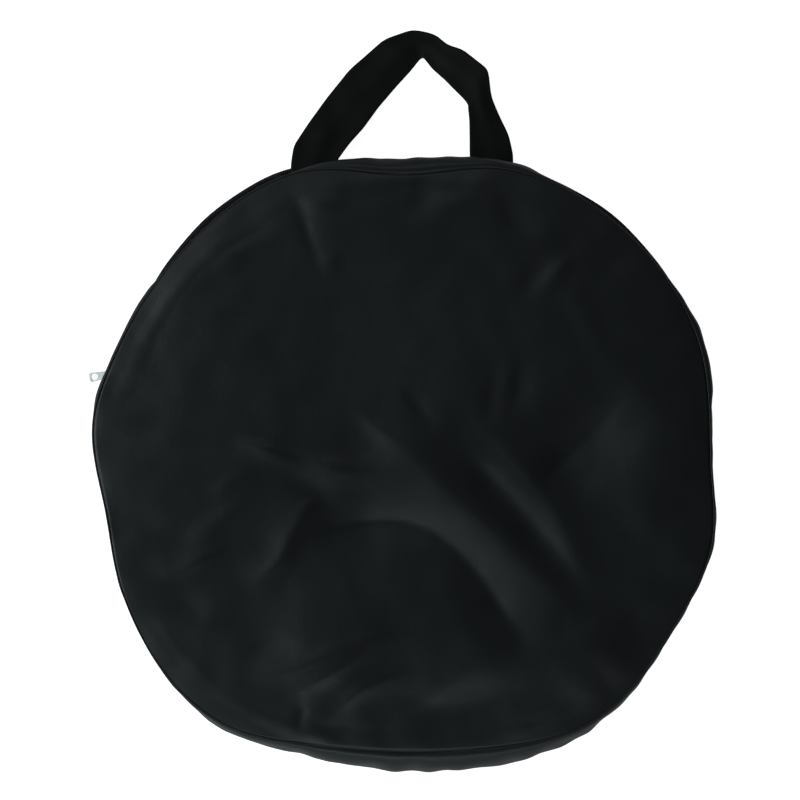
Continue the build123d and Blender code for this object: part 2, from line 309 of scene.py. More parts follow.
softbox("softbox left", (-2.3, -0.05, 1.5), (1.8, 1.5), 33, (0.86, 0.96, 1.0))
softbox("softbox behind", (-0.7, 1.9, 2.0), (2.2, 0.9), 7, (0.86, 0.96, 1.0))
softbox("softbox front", (-0.2, -2.1, 1.3), (2.2, 0.9), 13, (0.88, 0.97, 1.0))
print("stage, camera and light done")


# The bag's outline

# Radius of the outline in mm, by degrees round from +X: a round bag with full shoulders and flatter sides.
outline = ringCurve({
    0: 209, 25: 219, 50: 221, 70: 218, 90: 208, 110: 216, 135: 213, 160: 211, 170: 213, 190: 204, 205: 210,
    235: 218, 250: 209, 275: 209, 305: 220, 330: 214, 345: 216,
})
# How far the front panel's seam lies inside the outline, in mm.
seamInset = ringCurve({
    0: 1.5, 40: 3, 70: 5, 90: 10.5, 110: 4.5, 140: 3.5, 155: 1, 215: 1, 240: 5, 270: 14, 290: 12.5, 310: 4,
    330: 1.5,
})
# How far the seam is raised, in mm: the bag is fuller at the left.
seamLift = ringCurve({
    0: 0.5, 40: 0.5, 80: 0, 120: 0, 150: -0.5, 168: 1.5, 180: 3.0, 195: 3.8, 206: 2.5, 215: 0, 240: -0.5,
    300: 0, 330: 1.0, 350: 1.5,
})
# 1 where the zip and the back panel's edge stand out beyond the gusset.
flange = ringCurve({
    0: 0, 20: 0, 34: 0.6, 50: 1, 62: 0.6, 72: 0, 90: 0, 104: 0.2, 112: 1, 140: 1, 149: 0.1, 156: 0,
    200: 0, 270: 0, 330: 0,
})
# Where the zip runs, in degrees, and how far the gusset's hem takes to come down past its ends.
zipRange = {"start": 14.0, "end": 167.0, "tab": 4.0}
# Middle of the zip: the slider's circle in mm, and the degrees over which the zip leaves it for the outline.
chain = {"radius": 209.5, "height": 5.3, "slant": math.radians(41), "leaves": 22, "leaving": 14,
         "returns": 157, "returning": 12, "inside": 5.0, "flange": 3.0}
# How far the waist and the back panel's edge lie inside the outline in mm, and how far the flange moves them.
edges = {"waist": 0.3, "waistFlange": 4.4, "back": 2.2, "backFlange": 2.0}
seam = {"height": 30.5, "rise": 0.12}                # mm, and mm for each mm of inset


# 1 over the length of the zip, 0 where the gusset runs down to the back panel.
def overZip(angle):
    angle = np.mod(angle, fullTurn)
    rise = ease((angle - (zipRange["start"] - zipRange["tab"])) / zipRange["tab"])
    fall = ease((zipRange["end"] + zipRange["tab"] - angle) / zipRange["tab"])
    return np.minimum(rise, fall)


# The zip follows the outline, and comes back to the slider's circle at its ends.
def chainRadius(angle):
    angle = np.mod(angle, fullTurn)
    follow = ease((angle - chain["leaves"]) / chain["leaving"])
    follow = follow * ease((chain["returns"] - angle) / chain["returning"])
    uneven = outline(angle) - chain["inside"] + chain["flange"] * flange(angle)
    return chain["radius"] + follow * (uneven - chain["radius"])


def seamRadius(angle):
    return outline(angle) - seamInset(angle)


# In mm. The seam is higher at the left, so the front rolls over less there.
def seamHeight(angle):
    return seam["height"] + seam["rise"] * seamInset(angle) + seamLift(angle)


def waistRadius(angle):
    return outline(angle) - edges["waist"] - edges["waistFlange"] * flange(angle)


def backEdge(angle):
    return outline(angle) - edges["back"] + edges["backFlange"] * flange(angle)


def polar(points):
    angle = np.degrees(np.arctan2(points[:, 1], points[:, 0]))
    return np.mod(angle, fullTurn), np.hypot(points[:, 0], points[:, 1])


def fromPolar(angle, radius, height):
    turn = np.radians(angle)
    return np.stack([radius * np.cos(turn), radius * np.sin(turn), height], axis=1) * mm


# A grid whose square edge is pushed out to a circle of radius 1.
def discGrid(bm, segments):
    bmesh.ops.create_grid(bm, x_segments=segments, y_segments=segments, size=1)
    points = readPoints(bm)
    x, y = points[:, 0].copy(), points[:, 1].copy()
    points[:, 0] = x * np.sqrt(1 - y * y / 2)
    points[:, 1] = y * np.sqrt(1 - x * x / 2)
    return points


# Front cloth

# Each fold runs along a few points in mm. "left" and "right" are its half-widths on each side of
# the run, "height" is its rise, or its fall if negative.
folds = [
    # first ridge, from the middle down to the right, and the crease below it
    {"path": [(-24, 36), (2, 10), (28, -17), (60, -45), (95, -77), (120, -110)],
     "height": 5.7, "left": 17, "right": 30, "crisp": 1.6},
    {"path": [(-66, -54), (-50, -44), (-25, -39), (-2, -39), (18, -44), (37, -59), (52, -77),
              (64, -96), (76, -113), (94, -130)],
     "height": -6.2, "left": 15, "right": 19, "crisp": 1.15},
    {"path": [(-104, -116), (-60, -104), (-10, -88), (30, -104), (56, -132), (70, -160)],
     "height": 4.2, "left": 30, "right": 60},
    # second ridge, to the right of the first, and the groove between the two
    {"path": [(42, 34), (60, 20), (84, -6), (103, -33), (116, -64), (130, -94)],
     "height": 2.3, "left": 20, "right": 8, "crisp": 1.3},
    {"path": [(30, 14), (54, -8), (70, -25), (94, -53), (124, -90)], "height": -3.4, "left": 8, "right": 12},
    # crease that runs up to the right, with a slope that faces it
    {"path": [(84, -20), (100, -4), (116, 12), (138, 36), (158, 58)],
     "height": -6.6, "left": 14, "right": 32, "crisp": 1.3},
    {"path": [(176, 50), (168, 10), (160, -30), (138, -58)], "height": 3.0, "left": 24, "right": 26},
    # knot at the middle and the arm that runs left from it
    {"path": [(-40, 44), (-24, 30), (-10, 20), (4, 14)], "height": 1.5, "left": 4, "right": 6, "crisp": 1.5},
    {"path": [(-6, 62), (4, 46), (16, 30), (28, 20)], "height": -1.2, "left": 6, "right": 4, "crisp": 1.4},
    {"path": [(-118, 20), (-92, 10), (-66, 1)], "height": 2.6, "left": 5, "right": 8, "crisp": 1.4},
    {"path": [(-84, 12), (-60, 2), (-34, -4), (2, -4)], "height": 3.0, "left": 8, "right": 13, "crisp": 1.4},
    {"path": [(-98, 0), (-74, -10), (-56, -22), (-62, -40)], "height": -1.9, "left": 9, "right": 10},
    # upright creases above the second ridge
    {"path": [(82, 84), (77, 56), (70, 26)], "height": -1.5, "left": 10, "right": 5},
    {"path": [(64, 76), (58, 48), (56, 20)], "height": -1.1, "left": 8, "right": 5},
    {"path": [(98, 134), (114, 112), (130, 88), (144, 58)], "height": 1.0, "left": 9, "right": 8},
    {"path": [(116, 145), (104, 131), (90, 114)], "height": 1.4, "left": 5, "right": 6},
    {"path": [(100, 146), (86, 128), (76, 108)], "height": -1.0, "left": 6, "right": 8},
    # creases in from the feet of the handle
    {"path": [(-84, 198), (-72, 172), (-64, 150), (-52, 118)],
     "height": -1.5, "left": 5, "right": 3, "crisp": 1.2},
    {"path": [(-78, 190), (-60, 176), (-36, 180)], "height": 1.5, "left": 6, "right": 6},
    {"path": [(-128, 144), (-110, 158), (-88, 172)], "height": -0.8, "left": 8, "right": 8},
    {"path": [(-134, 126), (-112, 146), (-92, 158)], "height": 0.9, "left": 7, "right": 9},
    {"path": [(-58, 146), (-44, 130)], "height": 0.7, "left": 7, "right": 7},
    {"path": [(10, 186), (30, 174), (50, 180)], "height": 0.7, "left": 6, "right": 6},
    {"path": [(-30, 190), (0, 186), (34, 189)], "height": 0.8, "left": 5, "right": 9},
    {"path": [(60, 184), (76, 166), (98, 156)], "height": -1.8, "left": 8, "right": 7},
    # crumpled part at the left
    {"path": [(-124, -88), (-97, -76), (-83, -64), (-76, -45), (-64, -27), (-50, -19)],
     "height": 3.0, "left": 12, "right": 6, "crisp": 1.5},
    {"path": [(-174, -74), (-153, -72), (-134, -62), (-116, -50)],
     "height": 2.2, "left": 9, "right": 6, "crisp": 1.5},
    {"path": [(-134, -24), (-120, -12), (-98, -4)], "height": 1.3, "left": 8, "right": 5, "crisp": 1.5},
    {"path": [(-152, -52), (-128, -42), (-106, -18)], "height": 1.2, "left": 7, "right": 5},
    {"path": [(-186, 14), (-158, 20), (-132, 12)], "height": 0.8, "left": 8, "right": 10},
    {"path": [(-170, -104), (-150, -92), (-128, -100)], "height": -1.1, "left": 8, "right": 8},
    {"path": [(-160, -108), (-134, -110), (-106, -100)], "height": 0.9, "left": 7, "right": 8},
    # lower part
    {"path": [(78, -108), (106, -124), (140, -122), (164, -106)], "height": 4.2, "left": 18, "right": 34},
    {"path": [(-110, -144), (-72, -137), (-34, -121), (12, -107)],
     "height": 2.4, "left": 9, "right": 12, "crisp": 1.5},
    {"path": [(-116, -134), (-96, -118), (-66, -122)], "height": -1.4, "left": 9, "right": 8},
    {"path": [(-84, -158), (-52, -142), (-22, -122)], "height": 2.0, "left": 5, "right": 8, "crisp": 1.5},
    {"path": [(-56, -176), (-30, -150), (8, -138)], "height": 2.1, "left": 6, "right": 8, "crisp": 1.5},
    {"path": [(-34, -172), (10, -164), (52, -160), (90, -164)], "height": -2.0, "left": 18, "right": 13},
    {"path": [(-68, -150), (-72, -174), (-75, -196)], "height": -1.9, "left": 4, "right": 3},
]
# Places with spare cloth, which crumples: middle and reach in mm, and how much is spare, 0 to 1.
crumples = [
    {"middle": (-130, -50), "reach": 50, "growth": 1.0},
    {"middle": (-60, -130), "reach": 55, "growth": 0.8},
    {"middle": (30, -125), "reach": 55, "growth": 0.5},
    {"middle": (-85, 165), "reach": 45, "growth": 0.6},
    {"middle": (95, 145), "reach": 50, "growth": 0.6},
    {"middle": (150, -90), "reach": 45, "growth": 0.6},
    {"middle": (0, 20), "reach": 45, "growth": 0.5},
]


# A fold fades out over "fade" mm at its ends, within the least and most share of its length.
foldShape = {"fade": 45, "leastShare": 0.25, "mostShare": 0.5, "samples": 6, "roundings": 4, "crisp": 2}


# The summed rise of the folds at each point, in mm.
def foldHeights(x, y, foldList):
    total = np.zeros_like(x)
    for fold in foldList:
        knots = np.array(fold["path"], float)
        t = np.linspace(0, len(knots) - 1, foldShape["samples"] * (len(knots) - 1) + 1)
        run = np.stack([np.interp(t, range(len(knots)), knots[:, k]) for k in (0, 1)], axis=1)
        for _ in range(foldShape["roundings"]):
            run[1:-1] = (run[:-2] + 2 * run[1:-1] + run[2:]) / 4
        nearest = np.full(x.shape, 1e9)
        side = np.zeros_like(x)
        along = np.zeros_like(x)
        for n, (start, end) in enumerate(zip(run[:-1], run[1:])):
            step = end - start
            part = np.clip(((x - start[0]) * step[0] + (y - start[1]) * step[1]) / step.dot(step), 0, 1)
            dx = x - start[0] - part * step[0]
            dy = y - start[1] - part * step[1]
            distance = np.hypot(dx, dy)
            closer = distance < nearest
            nearest = np.where(closer, distance, nearest)
            side = np.where(closer, step[0] * dy - step[1] * dx, side)
            along = np.where(closer, (n + part) / (len(run) - 1), along)
        width = np.where(side > 0, fold["left"], fold["right"])
        length = np.hypot(*np.diff(run, axis=0).T).sum()
        part = np.clip(foldShape["fade"] / length, foldShape["leastShare"], foldShape["mostShare"])
        taper = ease(along / part) * ease((1 - along) / part)
        total += fold["height"] * taper * np.exp(-(nearest / width) ** fold.get("crisp", foldShape["crisp"]))
    return total


# The reflector's hoop lies in three turns inside its binding, in mm. It crosses itself at one angle, within
# crossingHalf degrees, and climbs from turn to turn over climb degrees.
hoop = {"radius": 183, "levels": (10.8, 19.6, 27.4), "wire": 3.0, "binding": 7.4, "dip": 9.5, "crossing": 270,
        "crossingHalf": 26, "climb": 36}
# Heights in mm. The cloth domes by "dome", rolls over to the seam, and is kept up where the hoop is below it.
# swell and ripple are the two sizes of soft unevenness, puckers the gathers at the seam.
frontShape = {"segments": 150, "top": 38.6, "rest": 34.2, "dome": 2.4, "rollPower": 7.5, "thickness": 0.6,
              "flatRim": 0.1, "swell": 1.5, "swellScale": 0.011, "ripple": 0.45, "rippleScale": 0.05,
              "hoopReach": 20, "hoopFade": 12, "hoopShare": 0.6, "puckers": 1.3, "puckerCount": 9}


# Smooth noise in -1 to 1 over the cloth.
def wander(x, y, scale, seed):
    return np.array([noise.noise(Vector((a * scale, b * scale, seed))) for a, b in zip(x, y)])


# Height of the front cloth in mm. share is the part of the way from the middle to the seam.
def frontHeight(x, y, share, angle):
    drop = frontShape["top"] - frontShape["dome"] - seamHeight(angle)
    height = frontShape["top"] - frontShape["dome"] * share ** 2 - drop * share ** frontShape["rollPower"]
    inside = ease((1 - share) / frontShape["flatRim"])
    height += inside * foldHeights(x, y, folds)
    height += inside * (frontShape["swell"] * wander(x, y, frontShape["swellScale"], 3.0)
                        + frontShape["ripple"] * wander(x, y, frontShape["rippleScale"], 8.0))
    fromHoop = np.abs(share * seamRadius(angle) - hoop["radius"])
    overHoop = ease((frontShape["hoopReach"] - fromHoop) / frontShape["hoopFade"])
    height += overHoop * frontShape["hoopShare"] * np.maximum(frontShape["rest"] - height, 0)
    turn = np.radians(angle)
    nearSeam = ease((share - 0.8) / 0.12) * ease((1.02 - share) / 0.06)
    gathers = wander(np.cos(turn), np.sin(turn), frontShape["puckerCount"], 0.5)
    height += frontShape["puckers"] * gathers * nearSeam
    return height


# The cloth is held fully from rimStart of the way out, and softly, by "loose", inside it.
settling = {"frames": 20, "growth": 0.025, "evenGrowth": 0.15, "hold": 1.0, "loose": 0.06, "rimStart": 0.82,
            "rimSpan": 0.15, "quality": 6, "mass": 0.1, "stretch": 25, "shear": 12, "bending": 0.4}


# A short cloth simulation: the piece grows a little where spare is high, and so wrinkles.
def settle(piece, hold, spare):
    holdGroup = piece.vertex_groups.new(name="hold")
    spareGroup = piece.vertex_groups.new(name="spare")
    for n, (held, grown) in enumerate(zip(hold, spare)):
        holdGroup.add([n], float(held), "REPLACE")
        spareGroup.add([n], float(grown), "REPLACE")
    cloth = piece.modifiers.new("settling", "CLOTH")
    cloth.settings.quality = settling["quality"]
    cloth.settings.mass = settling["mass"]
    cloth.settings.tension_stiffness = settling["stretch"]
    cloth.settings.compression_stiffness = settling["stretch"]
    cloth.settings.shear_stiffness = settling["shear"]
    cloth.settings.bending_stiffness = settling["bending"]
    cloth.settings.vertex_group_mass = "hold"
    cloth.settings.pin_stiffness = settling["hold"]
    cloth.settings.vertex_group_shrink = "spare"
    cloth.settings.shrink_min = 0.0
    cloth.settings.shrink_max = -settling["growth"]
    cloth.settings.effector_weights.gravity = 0.0
    cloth.collision_settings.use_collision = False
    cloth.point_cache.frame_start = 1
    cloth.point_cache.frame_end = settling["frames"]
    for step in range(1, settling["frames"] + 1):
        scene.frame_set(step)
    settled = bpy.data.meshes.new_from_object(piece.evaluated_get(bpy.context.evaluated_depsgraph_get()))
    piece.modifiers.clear()
    piece.vertex_groups.clear()
    old = piece.data
    piece.data = settled
    bpy.data.meshes.remove(old)
    settled.name = piece.name
    scene.frame_set(1)


# Bakes the piece's placement into its mesh.
def acrossFold(piece):
    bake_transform(piece)


def makeFrontCloth():
    bm = bmesh.new()
    unit = discGrid(bm, frontShape["segments"])
    angle, share = polar(unit)
    radius = share * seamRadius(angle)
    flat = fromPolar(angle, radius, np.zeros_like(radius)) / mm
    height = frontHeight(flat[:, 0], flat[:, 1], share, angle)
    writePoints(bm, fromPolar(angle, radius, height))
    cloth = newPiece("front_cloth", bm, taffeta, None)
    spare = np.full(len(share), settling["evenGrowth"])
    for patch in crumples:
        away = np.hypot(flat[:, 0] - patch["middle"][0], flat[:, 1] - patch["middle"][1]) / patch["reach"]
        spare += patch["growth"] * np.exp(-away ** 2)
    rim = ease((share - settling["rimStart"]) / settling["rimSpan"])
    settle(cloth, settling["loose"] + (1 - settling["loose"]) * rim, np.clip(spare, 0, 1))
    wall = cloth.modifiers.new("cloth thickness", "SOLIDIFY")
    wall.thickness = frontShape["thickness"] * mm
    wall.offset = -1
    acrossFold(cloth)
    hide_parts("front_panel_lower", "front_panel_flap")


makeFrontCloth()
print("front cloth done")


# Gusset

# Heights and depths in mm. skew and fullness shape the bulge between the seam and the hem.
gusset = {"rows": 14, "steps": 720, "hem": 9.6, "foot": 2.0, "hemInside": 4.0, "skew": 0.8, "fullness": 0.75,
          "wrinkle": 1.5, "wrinkleRise": 0.8, "wrinkleRound": 14, "wrinkleUp": 2.2, "thickness": 0.6}


# Radius and height in mm. t is 0 at the front seam and 1 at the lower edge.
def gussetPoint(angle, t):
    zipPart = overZip(angle)
    lowRadius = zipPart * (chainRadius(angle) - gusset["hemInside"]) + (1 - zipPart) * backEdge(angle)
    lowHeight = zipPart * gusset["hem"] + (1 - zipPart) * gusset["foot"]
    chord = (1 - t) * seamRadius(angle) + t * lowRadius
    middle = (seamRadius(angle) + lowRadius) / 2
    bulge = np.sin(math.pi * t ** gusset["skew"]) ** gusset["fullness"]
    radius = chord + (waistRadius(angle) - middle) * bulge
    height = (1 - t) * seamHeight(angle) + t * lowHeight
    around, up = gusset["wrinkleRound"], gusset["wrinkleUp"]
    wrinkle = np.array([noise.noise(Vector((math.cos(turn) * around, math.sin(turn) * around, part * up)))
                        for turn, part in zip([math.radians(a) for a in angle], t)])
    radius += gusset["wrinkle"] * wrinkle * np.sin(math.pi * t)
    height += gusset["wrinkleRise"] * wrinkle * np.sin(math.pi * t)
    return radius, height


def makeGusset():
    bm = bmesh.new()
    rows = [bm.verts.new((1, 0, n / gusset["rows"])) for n in range(gusset["rows"] + 1)]
    edges = [bm.edges.new(pair) for pair in zip(rows[:-1], rows[1:])]
    bmesh.ops.spin(bm, geom=rows + edges, axis=(0, 0, 1), cent=(0, 0, 0), angle=2 * math.pi,
                   steps=gusset["steps"], use_merge=True)
    points = readPoints(bm)
    angle, _ = polar(points)
    radius, height = gussetPoint(angle, points[:, 2])
    writePoints(bm, fromPolar(angle, radius, height))
    piece = newPiece("gusset_cloth", bm, taffeta, None, thickness=gusset["thickness"] * mm)
    acrossFold(piece)
    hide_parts("gusset_lower", "gusset_upper")


backShape = {"segments": 70, "height": 0.9, "rimRise": 0.8, "rimStart": 0.9, "rimSpan": 0.1, "thickness": 0.7}


def makeBackCloth():
    bm = bmesh.new()
    unit = discGrid(bm, backShape["segments"])
    angle, share = polar(unit)
    radius = share * backEdge(angle)
    rim = ease((share - backShape["rimStart"]) / backShape["rimSpan"])
    height = backShape["height"] + backShape["rimRise"] * rim
    writePoints(bm, fromPolar(angle, radius, height))
    piece = newPiece("back_cloth", bm, taffeta, "bag", ["back_panel"], thickness=backShape["thickness"] * mm)


makeGusset()
makeBackCloth()
print("gusset and back done")


# Pieces that run round the bag: a section in mm is carried round, and place gives its radius and height.

def roundSection(width, sides=8):
    turns = [2 * math.pi * n / sides for n in range(sides)]
    return [(math.cos(t) * width / 2, math.sin(t) * width / 2) for t in turns]


# A flat strip across the run, thickness deep.
def stripSection(inner, outer, thickness, cells=4):
    across = [inner + (outer - inner) * n / cells for n in range(cells + 1)]
    return [(u, -thickness / 2) for u in across] + [(u, thickness / 2) for u in reversed(across)]


def runRound(name, material, body, start, end, section, place, replaced=(), density=2, closed=False):
    bm = bmesh.new()
    far = 100
    verts = [bm.verts.new((far + u, 0, v)) for u, v in section]
    edges = [bm.edges.new(pair) for pair in zip(verts, verts[1:] + verts[:1])]
    steps = int((end - start) * density)
    bmesh.ops.spin(bm, geom=verts + edges, axis=(0, 0, 1), cent=(0, 0, 0), angle=math.radians(end - start),
                   steps=steps, use_merge=False, dvec=(0, 0, far))
    points = readPoints(bm)
    step = np.round(points[:, 2] / far)
    angle = start + (end - start) * step / steps
    u = np.hypot(points[:, 0], points[:, 1]) - far
    radius, height = place(angle, u, points[:, 2] - far * step)
    writePoints(bm, fromPolar(angle, radius, height))
    if closed:
        bmesh.ops.remove_doubles(bm, verts=bm.verts, dist=0.01 * mm)
    else:
        bmesh.ops.holes_fill(bm, edges=[e for e in bm.edges if len(e.link_faces) == 1])
    return newPiece(name, bm, material, body, replaced)


welt = {"front": 1.1, "back": 1.8, "backHeight": 1.3}      # widths and height in mm


def seamPlace(angle, u, v):
    return seamRadius(angle) + u, seamHeight(angle) + v


def backPlace(angle, u, v):
    return backEdge(angle) + u, welt["backHeight"] + v


# The zip's slight waviness: height in mm, waves in a full turn, and the degrees where it starts and ends.
zipWave = {"height": 0.25, "count": 23, "start": 24, "end": 156, "span": 10}


# across is measured from the chain's middle towards the front of the bag, out away from the bag.
def zipPlace(angle, across, out):
    wave = zipWave["height"] * np.sin(np.radians(angle) * zipWave["count"])
    wave = wave * ease((angle - zipWave["start"]) / zipWave["span"])
    wave = wave * ease((zipWave["end"] - angle) / zipWave["span"])
    radius = chainRadius(angle) + wave - across * math.cos(chain["slant"]) + out * math.sin(chain["slant"])
    height = chain["height"] + across * math.sin(chain["slant"]) + out * math.cos(chain["slant"])
    return radius, height


frontWelt = runRound("front_seam_welt", taffeta, None, 0, fullTurn, roundSection(welt["front"]), seamPlace,
                     ["front_seam_binding_lower", "front_seam_binding_flap"], closed=True)
acrossFold(frontWelt)
backWelt = runRound("back_seam_welt", bindingCloth, "bag", 0, fullTurn, roundSection(welt["back"]), backPlace,
                    ["back_seam_binding"], closed=True)
print("seam welts done")

# The zip along the gusset's hem: two tapes, and two rows of teeth that mesh on the middle line. Sizes are in
# mm, but the end tab's length, gap and sewn edge are in degrees.
tape = {"inner": 1.5, "outer": 5.4, "backOuter": 3.9, "thickness": 0.4}
teeth = {"pitch": 1.5, "reach": 1.3, "middle": 1.0, "along": 0.43, "depth": 0.72, "out": 0.3}
tab = {"length": 3.9, "gap": 0.05, "sewn": 1.2, "inner": -4.2, "outer": 6.0, "thickness": 1.0, "swell": 0.5,
       "half": 7}

backTape = runRound("zip_back_tape", tapeCloth, "bag", zipRange["start"], zipRange["end"],
                    stripSection(-tape["inner"], -tape["backOuter"], tape["thickness"]), zipPlace,
                    ["zip_tape_back"])
frontTape = runRound("zip_front_tape", tapeCloth, None, zipRange["start"], zipRange["end"],
                     stripSection(tape["inner"], tape["outer"], tape["thickness"]), zipPlace,
                     ["zip_tape_flap", "zip_tape_end_left", "zip_tape_end_right"])
acrossFold(frontTape)


# side is -1 for the back tape's row and 1 for the front tape's.
def makeTeeth(name, side, body, replaced):
    places = []
    count = int((zipRange["end"] - zipRange["start"]) * math.pi / 180 * chain["radius"] / teeth["pitch"])
    for n in range(count):
        angle = zipRange["start"] + (n + 0.5 + 0.25 * side) * (zipRange["end"] - zipRange["start"]) / count
        radius, height = zipPlace(angle, side * teeth["middle"], teeth["out"])
        turn = math.radians(angle)
        outward = Vector((math.cos(turn), math.sin(turn), 0))
        acrossWay = Vector((0, 0, math.sin(chain["slant"]))) - outward * math.cos(chain["slant"])
        alongWay = Vector((-math.sin(turn), math.cos(turn), 0))
        depthWay = acrossWay.cross(alongWay)
        place = Matrix((acrossWay * teeth["reach"] * mm, alongWay * teeth["along"] * mm,
                        depthWay * teeth["depth"] * mm)).transposed().to_4x4()
        place.translation = (outward * float(radius) + Vector((0, 0, float(height)))) * mm
        places.append(place)
    tooth = bmesh.new()
    bmesh.ops.create_uvsphere(tooth, u_segments=8, v_segments=5, radius=1)
    piece = newPiece(name, repeated(tooth, places), coilNylon, body, replaced)
    return piece


makeTeeth("zip_back_teeth", -1, "bag", ["zip_coil_back"])
acrossFold(makeTeeth("zip_front_teeth", 1, None,
                     ["zip_coil_flap", "zip_coil_end_left", "zip_coil_end_right"]))


# The end tabs swell in the middle and are drawn in where they are sewn.
def tabPlace(angle, across, out):
    ends = [zipRange["end"] + tab["gap"], zipRange["end"] + tab["length"], zipRange["start"] - tab["length"],
            zipRange["start"] - tab["gap"]]
    nearest = np.min([np.abs(angle - e) for e in ends], axis=0)
    swell = tab["swell"] * ease(nearest / tab["sewn"]) * (1 - (across / tab["half"]) ** 2)
    return zipPlace(angle, across, out + swell * (out > 0))


for side, start in (("left", zipRange["end"] + tab["gap"]), ("right", zipRange["start"] - tab["length"])):
    endTab = runRound(f"zip_end_patch_{side}", bindingCloth, "bag", start, start + tab["length"] - tab["gap"],
                      stripSection(tab["inner"], tab["outer"], tab["thickness"], 10), tabPlace,
                      [f"zip_end_tab_{side}"], density=5)
print("zip done")

# Cloth patches inside the gusset that hold the feet of the handle.
anchor = {"angles": {"left": 107.5, "right": 73.7}, "half": 4.0, "height": 20, "rise": 9.0, "inside": 2.4,
          "thickness": 1.0, "sag": 0.5, "sagRound": 60, "sagUp": 0.4}


def anchorPlace(angle, u, v):
    sag = anchor["sag"] * np.sin(np.radians(angle) * anchor["sagRound"] + v * anchor["sagUp"])
    return waistRadius(angle) - anchor["inside"] + u + sag, anchor["height"] + v


for side, middle in anchor["angles"].items():
    rise = anchor["rise"]
    heights = [-rise + rise * n / 5 for n in range(11)]
    deep = anchor["thickness"] / 2
    section = [(deep, h) for h in heights] + [(-deep, -h) for h in heights]
    patch = runRound(f"handle_patch_{side}", bindingCloth, "flap", middle - anchor["half"],
                     middle + anchor["half"], section, anchorPlace, [f"handle_anchor_{side}"], density=3)


# Half the thread's width in mm, and half a stitch's share of the pitch.
thread = {"half": 0.25, "stitchHalf": 0.36}


# A row of stitches that runs round the bag on a surface.
def makeStitches(name, body, start, end, pitch, place):
    places = []
    count = int(math.radians(end - start) * chain["radius"] / pitch)
    for n in range(count):
        angle = start + (end - start) * (n + 0.5) / count
        radius, height = place(angle)
        turn = math.radians(angle)
        matrix = Matrix.Translation(Vector((radius * math.cos(turn), radius * math.sin(turn), height)) * mm)
        size = (thread["half"] * mm, pitch * thread["stitchHalf"] * mm, thread["half"] * mm, 1)
        places.append(matrix @ Matrix.Rotation(turn, 4, "Z") @ Matrix.Diagonal(size))
    stitch = bmesh.new()
    bmesh.ops.create_icosphere(stitch, subdivisions=1, radius=1)
    return newPiece(name, repeated(stitch, places), sewingThread, body)


def onTape(across):
    def place(angle):
        radius, height = zipPlace(angle, across, thread["half"])
        return float(radius), float(height)
    return place


def onHem(angle):
    radius, height = gussetPoint(np.array([angle]), np.array([0.95]))
    return float(radius[0]) + 0.35, float(height[0])


acrossFold(makeStitches("zip_front_stitching", None, zipRange["start"], zipRange["end"], 2.8, onTape(4.2)))
makeStitches("zip_back_stitching", "bag", zipRange["start"], zipRange["end"], 2.8, onTape(-3.3))
acrossFold(makeStitches("gusset_hem_stitching", None, zipRange["start"], zipRange["end"], 3.0, onHem))
print("patches and stitching done")

# Carry handle

# Outer and inner edge of the webbing in mm, with the height of each, from the left foot to the right.
strapEdges = [
    ((-78, 197, 12), (-48, 203, 12)),
    ((-78, 205, 11.5), (-46, 208, 11.5)),
    ((-76, 218, 9.5), (-38, 219, 9.5)),
    ((-67, 232, 8), (-28, 230, 8)),
    ((-54, 250, 6.5), (-18, 244, 6)),
    ((-38, 270, 6), (-6, 258, 4)),
    ((-14, 291, 5), (4, 269, 3.5)),
    ((5, 298, 2), (11, 278, 2)),
    ((20, 295, 2), (13, 278, 3.5)),
    ((29, 287, 4.5), (19, 270, 3)),
    ((39, 284, 6.5), (26, 264, 3)),
    ((57, 270, 7), (40, 250, 4.5)),
    ((58, 262, 5.5), (43, 246, 6)),
    ((59, 252, 4.5), (43, 244, 7)),
    ((64, 240, 5.5), (44, 235, 8.5)),
    ((71, 225, 8), (44, 224, 9)),
    ((74, 212, 10), (44, 212, 10.5)),
    ((74, 203, 11.5), (45, 203, 11.5)),
]


# Sizes in mm. rounding softens the run's corners, crown is a ridge along the middle, curl lifts the edges.
strapShape = {"rows": 120, "columns": 10, "thickness": 1.4, "rounding": 3, "kink": 1.5, "kinkScale": 0.055,
              "curl": 0.5, "crown": 0.9, "crownMiddle": 0.45, "crownHalf": 0.22}


def makeStrap():
    knots = np.array(strapEdges)
    middles = knots.mean(axis=1)
    run = np.concatenate([[0], np.cumsum(np.linalg.norm(np.diff(middles, axis=0), axis=1))])
    bm = bmesh.new()
    bmesh.ops.create_grid(bm, x_segments=strapShape["rows"], y_segments=strapShape["columns"], size=1)
    points = readPoints(bm)
    along = (points[:, 0] + 1) / 2 * run[-1]
    across = (points[:, 1:2] + 1) / 2
    sides = []
    for side in range(2):
        edge = np.stack([np.interp(along, run, knots[:, side, k]) for k in range(3)], axis=1)
        before, after = along - strapShape["rounding"], along + strapShape["rounding"]
        near = np.stack([
            (np.interp(before, run, knots[:, side, k]) + np.interp(after, run, knots[:, side, k])) / 2
            for k in range(3)
        ], axis=1)
        sides.append((edge + near) / 2)
    placed = sides[0] * (1 - across) + sides[1] * across
    placed[:, 2] += strapShape["kink"] * wander(placed[:, 0], placed[:, 1], strapShape["kinkScale"], 4.0)
    placed[:, 2] += strapShape["curl"] * (2 * across[:, 0] - 1) ** 4
    fromCrown = (across[:, 0] - strapShape["crownMiddle"]) / strapShape["crownHalf"]
    placed[:, 2] += strapShape["crown"] * np.exp(-fromCrown ** 2)
    writePoints(bm, placed * mm)
    piece = newPiece("carry_strap", bm, webbing, None, thickness=strapShape["thickness"] * mm, subdivide=1)
    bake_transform(piece)
    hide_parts("handle_strap", "handle_stub_left", "handle_stub_right")


makeStrap()
print("handle done")

# The reflector inside

